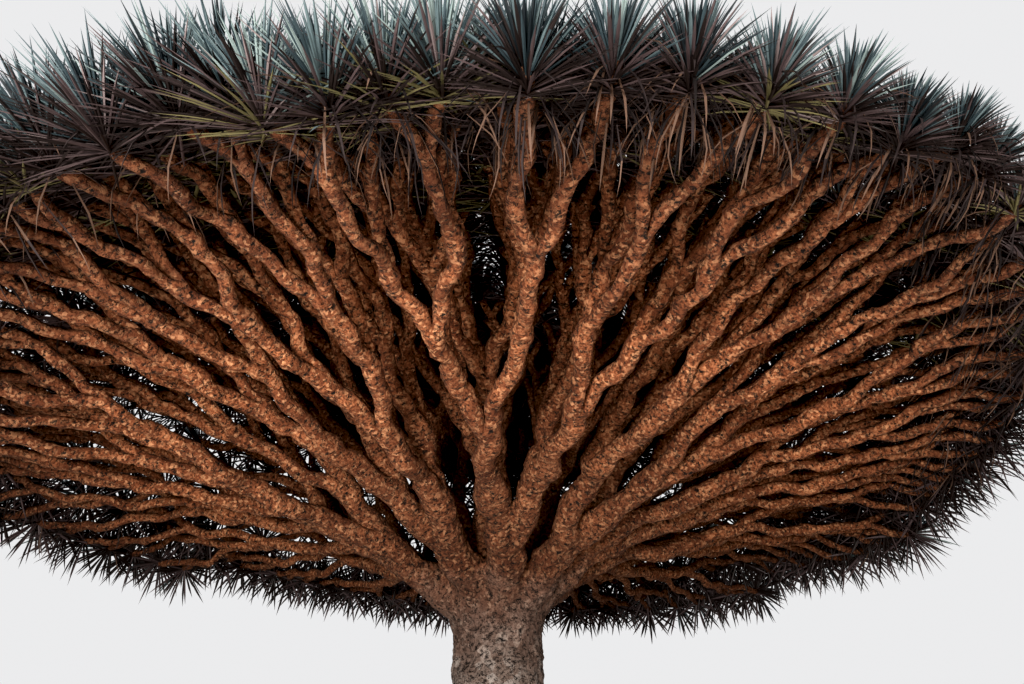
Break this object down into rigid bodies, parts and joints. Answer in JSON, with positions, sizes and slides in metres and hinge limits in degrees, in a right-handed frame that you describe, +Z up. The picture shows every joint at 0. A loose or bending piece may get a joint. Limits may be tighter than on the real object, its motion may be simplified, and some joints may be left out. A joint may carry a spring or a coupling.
{
  "type": "dragon blood tree",
  "caption": "Mature dragon blood tree rooted in the ground: a thick trunk, forked boughs fanning out in a flat umbrella, and sword-leaf tufts on its twig ends",
  "frame": {"origin": "centre of the flat cut under the trunk, at ground level", "axes": "+Z up along the trunk, -Y towards the picture's camera, +X to the picture's right"},
  "size_m": [10.4145, 10.6569, 6.4175],
  "materials": {
    "trunk_bark": "rough grey-brown bark with paler patches",
    "bough_bark": "rough orange-brown bark, ringed and flaking",
    "foliage": "stiff blue-green sword leaves"
  },
  "bodies": {
    "root": {"trunk": "trunk_bark", "bough_outer_1": "bough_bark", "bough_outer_2": "bough_bark", "bough_outer_3": "bough_bark", "bough_outer_4": "bough_bark", "bough_outer_5": "bough_bark", "bough_outer_6": "bough_bark", "bough_outer_7": "bough_bark", "bough_outer_8": "bough_bark", "bough_outer_9": "bough_bark", "bough_outer_10": "bough_bark", "bough_inner_1": "bough_bark", "bough_inner_2": "bough_bark", "bough_inner_3": "bough_bark", "bough_inner_4": "bough_bark", "limb_outer_1a": "bough_bark", "limb_outer_1b": "bough_bark", "limb_outer_2a": "bough_bark", "limb_outer_2b": "bough_bark", "limb_outer_3a": "bough_bark", "limb_outer_3b": "bough_bark", "limb_outer_4a": "bough_bark", "limb_outer_4b": "bough_bark", "limb_outer_5a": "bough_bark", "limb_outer_5b": "bough_bark", "limb_outer_6a": "bough_bark", "limb_outer_6b": "bough_bark", "limb_outer_7a": "bough_bark", "limb_outer_7b": "bough_bark", "limb_outer_8a": "bough_bark", "limb_outer_8b": "bough_bark", "limb_outer_9a": "bough_bark", "limb_outer_9b": "bough_bark", "limb_outer_10a": "bough_bark", "limb_outer_10b": "bough_bark", "mass_outer_1a": "foliage", "mass_outer_1b": "foliage", "mass_outer_2a": "foliage", "mass_outer_2b": "foliage", "mass_outer_3a": "foliage", "mass_outer_3b": "foliage", "mass_outer_4a": "foliage", "mass_outer_4b": "foliage", "mass_outer_5a": "foliage", "mass_outer_5b": "foliage", "mass_outer_6a": "foliage", "mass_outer_6b": "foliage", "mass_outer_7a": "foliage", "mass_outer_7b": "foliage", "mass_outer_8a": "foliage", "mass_outer_8b": "foliage", "mass_outer_9a": "foliage", "mass_outer_9b": "foliage", "mass_outer_10a": "foliage", "mass_outer_10b": "foliage", "mass_inner_1": "foliage", "mass_inner_2": "foliage", "mass_inner_3": "foliage", "mass_inner_4": "foliage"}
  },
  "joints": []
}
